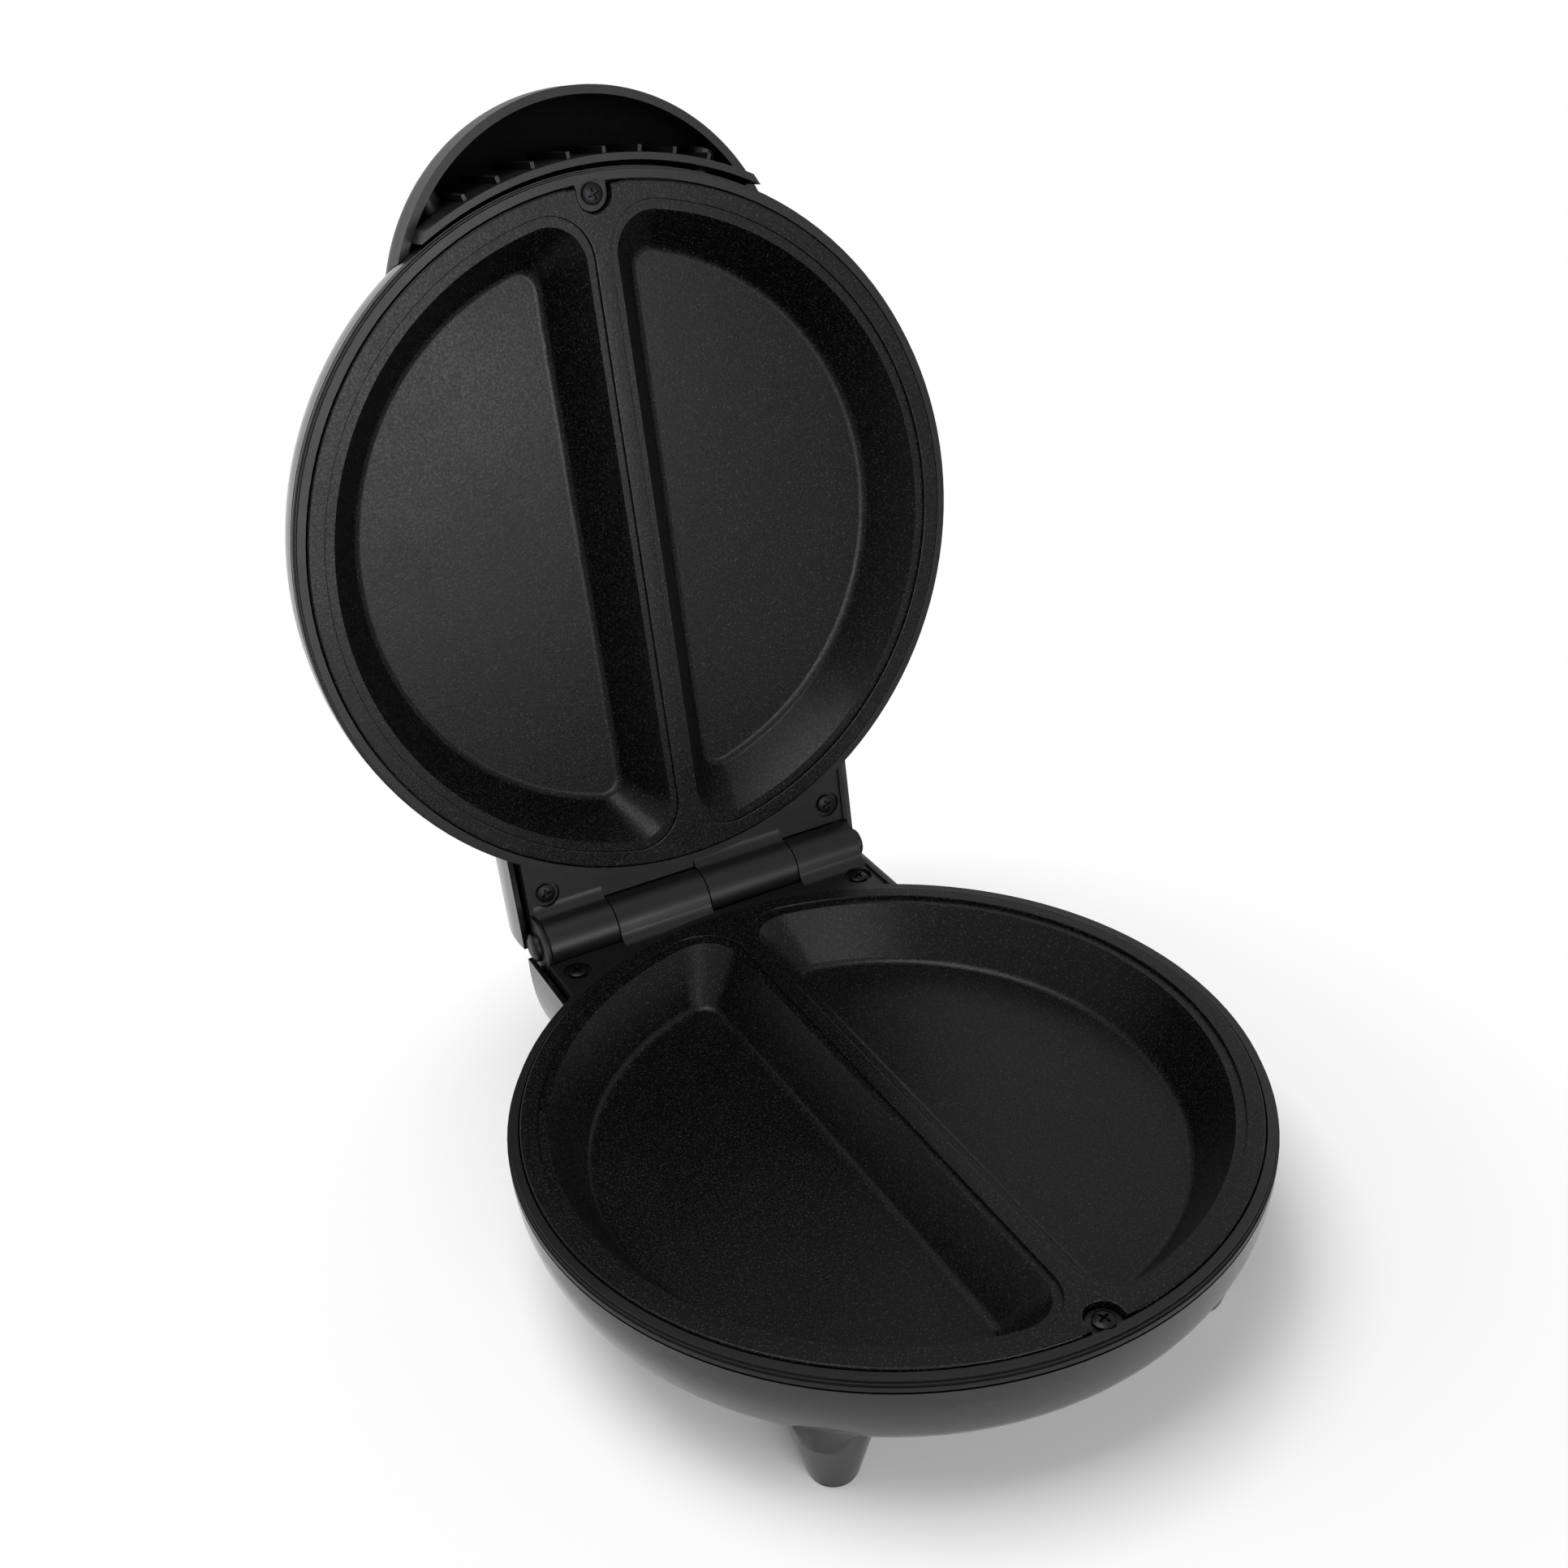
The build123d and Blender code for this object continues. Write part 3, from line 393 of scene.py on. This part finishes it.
def makePlates(look):
    low, high = (Vector(c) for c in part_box("base_cooking_plate"))
    screwLow, screwHigh = (Vector(c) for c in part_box("base_front_screw"))
    screw = (screwLow + screwHigh) / 2
    radius = (high.x - low.x) / 2
    centre = Vector(((low.x + high.x) / 2, high.y - radius))
    plate = copyOf("base_cooking_plate", "base_plate")

    def isTopEdge(edge):
        if len(edge.link_faces) != 2 or min(v.co.z for v in edge.verts) < high.z - look["atTop"]:
            return False
        rises = sorted(face.normal.z for face in edge.link_faces)
        return rises[1] > look["flat"] and rises[0] < look["steep"]

    def isInner(edge):
        middle = ((edge.verts[0].co + edge.verts[1].co) / 2).xy
        offNotch = (middle - screw.xy).length > look["notchReach"]
        return (middle - centre).length < look["rimFrom"] and offNotch

    selectWhere(plate, "EDGE", lambda e: isTopEdge(e) and isInner(e))
    bpy.ops.mesh.bevel(offset=look["ledgeRoll"], segments=look["ledgeSteps"])
    bpy.ops.object.mode_set(mode="OBJECT")
    selectWhere(plate, "EDGE", lambda e: isTopEdge(e) and not isInner(e))
    bpy.ops.mesh.bevel(offset=look["rimRoll"], segments=look["rimSteps"])
    bpy.ops.mesh.select_all(action="SELECT")
    bpy.ops.mesh.vert_connect_nonplanar(angle_limit=math.radians(look["bentPast"]))
    bpy.ops.object.mode_set(mode="OBJECT")
    smooth(plate)
    lidPlate = lidTwin(plate, "lid_plate")
    place(plate, "base_cooking_plate", "base")
    place(lidPlate, "lid_cooking_plate", "lid")


makePlates(plateLook)
print("cooking plates")


# ---- trim rings: the outer knuckles reach the sides of the hinge plate ----
trimLook = {
    "knuckleReach": 0.0062, "oldEnd": 0.0500, "newEnd": 0.0532,
    "width": 0.00022, "steps": 2, "angle": 40,
}


def makeTrimRings(look):
    ring = copyOf("base_trim_ring", "base_trim")
    axis = Vector((hinge["place"].y, hinge["place"].z))

    def isKnuckleEnd(vert):
        near = (Vector((vert.co.y, vert.co.z)) - axis).length < look["knuckleReach"]
        return near and abs(vert.co.x) > look["oldEnd"]

    for side in (-1, 1):
        selectWhere(ring, "VERT", lambda v: isKnuckleEnd(v) and v.co.x * side > 0)
        shape = bmesh.from_edit_mesh(ring.data)
        ends = [abs(v.co.x) for v in shape.verts if v.select]
        if ends:
            bpy.ops.transform.translate(value=(side * (look["newEnd"] - max(ends)), 0, 0))
        bpy.ops.object.mode_set(mode="OBJECT")
    roundEdges(ring, look)
    smooth(ring)
    lidRing = lidTwin(ring, "lid_trim")
    place(ring, "base_trim_ring", "base")
    place(lidRing, "lid_trim_ring", "lid")


makeTrimRings(trimLook)
print("trim rings")


# ---- cross-head screws ----
screwLook = {
    "headRadius": 0.0028, "headHeight": 0.0016, "crown": 0.0005,
    "firstInset": 0.35, "firstRise": 0.75,      # shares of the head's radius and of the crown
    "secondInset": 0.30, "secondRise": 0.25,
    "shankRadius": 0.00145, "tip": 0.55,
    "turn": 0.35,                               # of the cross, in radians
    "crossWidth": 0.0007, "crossLength": 0.0032, "crossDepth": 0.0011,
    "faces": 48, "rounding": {"width": 0.00022, "steps": 2, "angle": 40},
}


def makeScrew(look, top, foot):
    x, y, z = top
    height = look["headHeight"]
    bpy.ops.object.select_all(action="DESELECT")
    bpy.ops.mesh.primitive_cylinder_add(vertices=look["faces"], radius=look["headRadius"], depth=height,
                                        location=(x, y, z - height / 2))
    screw = bpy.context.object
    bpy.ops.object.transform_apply(location=True, rotation=True, scale=True)
    selectWhere(screw, "FACE", lambda f: f.normal.z > facing)
    bpy.ops.mesh.inset(thickness=look["headRadius"] * look["firstInset"])
    bpy.ops.transform.translate(value=(0, 0, look["crown"] * look["firstRise"]))
    bpy.ops.mesh.inset(thickness=look["headRadius"] * look["secondInset"])
    bpy.ops.transform.translate(value=(0, 0, look["crown"] * look["secondRise"]))
    bpy.ops.object.mode_set(mode="OBJECT")
    selectWhere(screw, "FACE", lambda f: f.normal.z < -facing)
    bpy.ops.mesh.inset(thickness=look["headRadius"] - look["shankRadius"])
    bpy.ops.mesh.extrude_region_move(TRANSFORM_OT_translate={"value": (0, 0, foot - (z - height))})
    bpy.ops.transform.resize(value=(look["tip"], look["tip"], 1), center_override=(x, y, foot))
    bpy.ops.object.mode_set(mode="OBJECT")
    screw.data.transform(Matrix.Translation((0, 0, -look["crown"])))
    for turn in (look["turn"], look["turn"] + math.pi / 2):      # the two slots of the cross
        bpy.ops.object.select_all(action="DESELECT")
        bpy.ops.mesh.primitive_cube_add(size=1, location=(x, y, z), rotation=(0, 0, turn),
                                        scale=(look["crossLength"], look["crossWidth"], 2 * look["crossDepth"]))
        slot = bpy.context.object
        bpy.ops.object.transform_apply(location=True, rotation=True, scale=True)
        activate(screw)
        cut = screw.modifiers.new("cut", "BOOLEAN")
        cut.operation = "DIFFERENCE"
        cut.object = slot
        bpy.ops.object.modifier_apply(modifier=cut.name)
        bpy.data.objects.remove(slot)
    roundEdges(screw, look["rounding"])
    smooth(screw)
    return screw


def makeScrews(look):
    low, high = (Vector(c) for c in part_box("base_front_screw"))
    middle = (low + high) / 2
    front = makeScrew(look, (middle.x, middle.y, high.z), low.z)
    front.name = "front_screw_base"
    pairLow, pairHigh = (Vector(c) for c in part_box("base_hinge_screws"))
    headRadius = (high.x - low.x) / 2
    sides = []
    for side in (-1, 1):
        x = side * ((pairHigh.x - pairLow.x) / 2 - headRadius)
        shift = Vector((x, (pairLow.y + pairHigh.y) / 2, pairHigh.z)) - Vector((middle.x, middle.y, high.z))
        screw = bpy.data.objects.new("hinge_screw_base", front.data.copy())
        bpy.context.scene.collection.objects.link(screw)
        screw.data.transform(Matrix.Translation(shift))
        sides.append(screw)
    bpy.ops.object.select_all(action="DESELECT")
    for screw in sides:
        screw.select_set(True)
    bpy.context.view_layer.objects.active = sides[0]
    bpy.ops.object.join()
    pair = bpy.context.object
    for piece, node in ((front, "front_screw"), (pair, "hinge_screws")):
        twin = lidTwin(piece, node + "_lid")
        place(piece, "base_" + node, "base")
        place(twin, "lid_" + node, "lid")


makeScrews(screwLook)
print("screws")


# ---- hinge pin with its two domed heads ----
pinLook = {
    "radius": 0.00195, "headRadius": 0.0043, "neck": 0.0535, "reach": 0.0556,
    "dome": 0.0008, "domeInset": 0.4,           # the inset as a share of the head's radius
    "faces": 48, "rounding": {"width": 0.0004, "steps": 2, "angle": 40},
}


def makePin(look):
    x, y, z = hinge["place"]
    bpy.ops.object.select_all(action="DESELECT")
    bpy.ops.mesh.primitive_cylinder_add(vertices=look["faces"], radius=look["radius"], depth=2 * look["neck"],
                                        location=(0, y, z), rotation=(0, math.pi / 2, 0))
    pin = bpy.context.object
    pin.name = "hinge_pin_headed"
    bpy.ops.object.transform_apply(location=True, rotation=True, scale=True)
    thickness = look["reach"] - look["neck"] - look["dome"]
    grow = look["headRadius"] / look["radius"]
    for side in (-1, 1):
        selectWhere(pin, "FACE", lambda f: f.normal.x * side > facing)
        bpy.ops.mesh.extrude_region_move(TRANSFORM_OT_translate={"value": (0, 0, 0)})
        bpy.ops.transform.resize(value=(1, grow, grow), center_override=(0, y, z))
        bpy.ops.mesh.extrude_region_move(TRANSFORM_OT_translate={"value": (side * thickness, 0, 0)})
        bpy.ops.mesh.inset(thickness=look["headRadius"] * look["domeInset"])
        bpy.ops.transform.translate(value=(side * look["dome"], 0, 0))
        bpy.ops.object.mode_set(mode="OBJECT")
    roundEdges(pin, look["rounding"])
    smooth(pin)
    place(pin, "hinge_pin", "base")


makePin(pinLook)
print("hinge pin")


# ---- mouldings with softened edges ----
softPieces = {
    # width of the rounding in metres, its steps, and the least angle in degrees of an edge that is rounded
    "base_housing": {"body": "base", "width": 0.00045, "steps": 2, "angle": 40},
    "lid_housing": {"body": "lid", "width": 0.00045, "steps": 2, "angle": 40},
    "handle": {"body": "lid", "width": 0.00080, "steps": 3, "angle": 50},
    "foot_pad_front_left": {"body": "base", "width": 0.00060, "steps": 3, "angle": 40},
    "foot_pad_front_right": {"body": "base", "width": 0.00060, "steps": 3, "angle": 40},
    "foot_pad_rear_left": {"body": "base", "width": 0.00060, "steps": 3, "angle": 40},
    "foot_pad_rear_right": {"body": "base", "width": 0.00060, "steps": 3, "angle": 40},
    "power_lamp_lens": {"body": "lid", "width": 0.00050, "steps": 3, "angle": 40},
    "ready_lamp_lens": {"body": "lid", "width": 0.00050, "steps": 3, "angle": 40},
}


def soften(node, look):
    piece = copyOf(node, node + "_soft")
    roundEdges(piece, look)
    smooth(piece)
    place(piece, node, look["body"])


for node, look in softPieces.items():
    soften(node, look)
print("softened pieces: %d" % len(softPieces))


# ---- floor ----
stageLook = {"size": 8.0, "colour": 0.86, "lift": 0.12,
             "centre": (0.015, -0.05, 0), "fadeFrom": 0.105, "fadeTo": 0.195}


def whiteRays(tree):      # 1 for what the camera, a gloss or a clear piece sees
    rays = tree.nodes.new("ShaderNodeLightPath")
    seen = rays.outputs["Is Camera Ray"]
    for other in ("Is Glossy Ray", "Is Transmission Ray"):
        seen = addNode(tree, "Math", {"operation": "MAXIMUM"}, _0=seen, _1=rays.outputs[other]).outputs[0]
    return seen


def makeFloor(look):
    bpy.ops.mesh.primitive_plane_add(size=look["size"], location=(0, 0, 0))
    floor = bpy.context.object
    floor.name = "floor"
    material = bpy.data.materials.new("floor")
    material.use_nodes = True
    tree = material.node_tree
    tree.nodes.clear()
    spread = addNode(tree, "VectorMath", {"operation": "DISTANCE"}, _0=objectPoint(tree),
                     _1=look["centre"]).outputs["Value"]
    far = ramp(tree, spread, 0, 1, look["fadeFrom"], look["fadeTo"])
    seen = whiteRays(tree)
    plain = addNode(tree, "BsdfDiffuse", Color=(look["colour"],) * 3 + (1,)).outputs[0]
    glow = addNode(tree, "Math", {"operation": "MULTIPLY"}, _0=seen, _1=look["lift"]).outputs[0]
    lift = addNode(tree, "Emission", Color=(1, 1, 1, 1), Strength=glow).outputs[0]
    near = addNode(tree, "AddShader", _0=plain, _1=lift).outputs[0]
    white = addNode(tree, "Emission", Color=(1, 1, 1, 1), Strength=seen).outputs[0]
    fade = addNode(tree, "Math", {"operation": "MULTIPLY"}, _0=far, _1=seen).outputs[0]
    mixed = addNode(tree, "MixShader", _0=fade, _1=near, _2=white).outputs[0]
    addNode(tree, "OutputMaterial", Surface=mixed)
    floor.data.materials.append(material)


makeFloor(stageLook)


# ---- light ----
studioLight = {
    "sky": 0.12,
    "softBoxes": [
        # name, place, size across and down, watts
        ("topBox", (-0.35, 0.05, 1.35), (0.9, 0.8), 14),
        ("keyBox", (-0.40, -1.45, 0.90), (0.8, 0.6), 5.5),
        ("frontBox", (0.10, -1.65, 0.27), (1.0, 0.5), 20),
    ],
    "aim": (0, 0, 0.08),
}


def makeLight(look):
    world = bpy.data.worlds.new("studio")
    bpy.context.scene.world = world
    world.use_nodes = True
    tree = world.node_tree
    background = tree.nodes["Background"]
    tree.links.new(ramp(tree, whiteRays(tree), look["sky"], 1.0), background.inputs["Strength"])
    background.inputs["Color"].default_value = (1, 1, 1, 1)
    for name, place, size, watts in look["softBoxes"]:
        lamp = bpy.data.lights.new(name, "AREA")
        lamp.shape = "RECTANGLE"
        lamp.size, lamp.size_y = size
        lamp.energy = watts
        light = bpy.data.objects.new(name, lamp)
        bpy.context.scene.collection.objects.link(light)
        toward = Vector(look["aim"]) - Vector(place)
        light.matrix_world = Matrix.Translation(place) @ toward.to_track_quat("-Z", "Y").to_matrix().to_4x4()


makeLight(studioLight)
print("floor and light")
